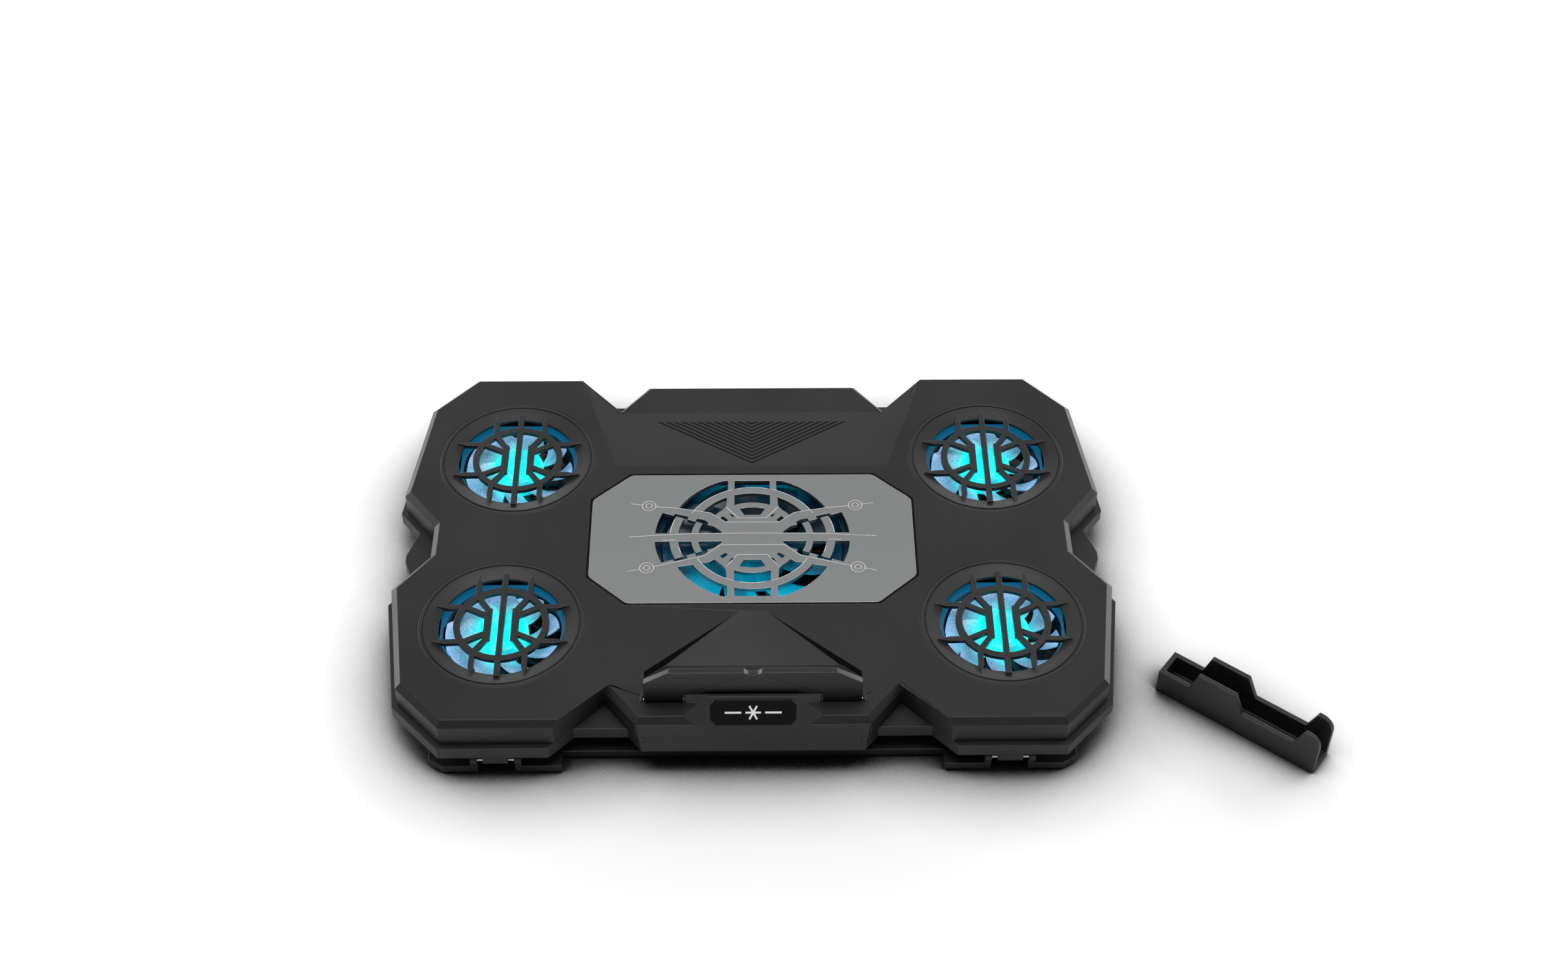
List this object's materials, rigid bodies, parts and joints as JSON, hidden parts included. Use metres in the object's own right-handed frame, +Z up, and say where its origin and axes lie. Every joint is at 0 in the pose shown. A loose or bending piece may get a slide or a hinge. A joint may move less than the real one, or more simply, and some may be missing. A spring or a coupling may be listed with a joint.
{
  "type": "laptop cooling pad",
  "caption": "Flat faceted cooling pad for a laptop on a hinged tilting stand, with round fan covers, a grilled centre plate, a flip-up front stopper and a separate phone cradle.",
  "frame": {"origin": "on the table under the centre of the pad", "axes": "+X to the user's right along the pad's width, +Y to the rear, +Z up"},
  "size_m": [0.531, 0.286, 0.0614],
  "materials": {
    "shell": "fine matt texture, black",
    "cover": "fine matt texture, black",
    "plate": "satin silver, fine sparkle, with bright engraved lines",
    "gloss_black": "gloss black",
    "mark": "white print",
    "steel": "bright steel",
    "board": "green lacquer",
    "socket": "plated steel",
    "control": "satin black",
    "wire": "red insulation",
    "led": "clear, lit cyan",
    "bush": "sintered bronze",
    "fan_frame": "dark translucent blue",
    "rotor": "clear plastic, lit pale blue",
    "winding": "lacquered copper",
    "base": "satin black",
    "rubber": "matt black",
    "holder": "satin black"
  },
  "bodies": {
    "base": {"base_frame": "base", "base_feet": "rubber", "hinge_pins": "steel"},
    "pad": {"top_shell": "shell", "bottom_shell": "shell", "centre_plate": "plate", "plate_trim": "gloss_black", "badge_block": "shell", "badge": "gloss_black", "badge_mark": "mark", "stopper_pins": "steel", "control_board": "board", "usb_sockets": "socket", "speed_control": "control", "wiring": "wire", "hub_leds": "led", "fan_bushes": "bush", "fan_screws": "steel", "shell_screws": "steel", "board_screws": "steel", "prop_rod": "steel", "rest_bumpers": "rubber", "fan_cover_front_left": "cover", "fan_cover_front_right": "cover", "fan_cover_rear_left": "cover", "fan_cover_rear_right": "cover", "fan_frame_front_left": "fan_frame", "fan_frame_front_right": "fan_frame", "fan_frame_rear_left": "fan_frame", "fan_frame_rear_right": "fan_frame", "fan_frame_centre": "fan_frame", "motor_stator_front_left": "winding", "motor_stator_front_right": "winding", "motor_stator_rear_left": "winding", "motor_stator_rear_right": "winding", "motor_stator_centre": "winding"},
    "prop": {"prop": "base", "prop_sleeves": "rubber"},
    "stopper": {"stopper": "shell"},
    "light_button": {"light_button": "control"},
    "speed_wheel": {"speed_wheel": "control"},
    "phone_holder": {"phone_holder": "holder"},
    "rotor_front_left": {"rotor_front_left": "rotor"},
    "rotor_front_right": {"rotor_front_right": "rotor"},
    "rotor_rear_left": {"rotor_rear_left": "rotor"},
    "rotor_rear_right": {"rotor_rear_right": "rotor"},
    "rotor_centre": {"rotor_centre": "rotor"}
  },
  "joints": [
    {"name": "tilt", "type": "hinge", "parent": "base", "child": "pad", "pos_m": [0, -0.139, 0.0115], "axis": [1, 0, 0], "range_deg": [0, 18]},
    {"name": "prop_swing", "type": "hinge", "parent": "pad", "child": "prop", "pos_m": [0, 0.088, 0.0115], "axis": [1, 0, 0], "range_deg": [0, 40.5]},
    {"name": "stopper_fold", "type": "hinge", "parent": "pad", "child": "stopper", "pos_m": [0, -0.1185, 0.037], "axis": [1, 0, 0], "range_deg": [-90, 0]},
    {"name": "spin_front_left", "type": "hinge", "parent": "pad", "child": "rotor_front_left", "pos_m": [-0.1415, -0.066, 0.027], "axis": [0, 0, 1], "continuous": true},
    {"name": "spin_front_right", "type": "hinge", "parent": "pad", "child": "rotor_front_right", "pos_m": [0.1415, -0.066, 0.027], "axis": [0, 0, 1], "continuous": true},
    {"name": "spin_rear_left", "type": "hinge", "parent": "pad", "child": "rotor_rear_left", "pos_m": [-0.1415, 0.066, 0.027], "axis": [0, 0, 1], "continuous": true},
    {"name": "spin_rear_right", "type": "hinge", "parent": "pad", "child": "rotor_rear_right", "pos_m": [0.1415, 0.066, 0.027], "axis": [0, 0, 1], "continuous": true},
    {"name": "spin_centre", "type": "hinge", "parent": "pad", "child": "rotor_centre", "pos_m": [0, 0, 0.027], "axis": [0, 0, 1], "continuous": true},
    {"name": "light_press", "type": "slide", "parent": "pad", "child": "light_button", "axis": [0, -1, 0], "range_m": [0, 0.0012], "stiffness_N_per_m": 200, "springref_m": -0.0015},
    {"name": "speed_turn", "type": "hinge", "parent": "pad", "child": "speed_wheel", "pos_m": [0.028, 0.1295, 0.026], "axis": [0, 0, 1], "range_deg": [0, 270]},
    {"name": "cradle_lift", "type": "slide", "parent": "base", "child": "phone_holder", "axis": [0, 0, 1], "range_m": [0, 0.12]}
  ],
  "couplings": [
    {"joint": "prop_swing", "follows": "tilt", "ratio": 2.25}
  ]
}
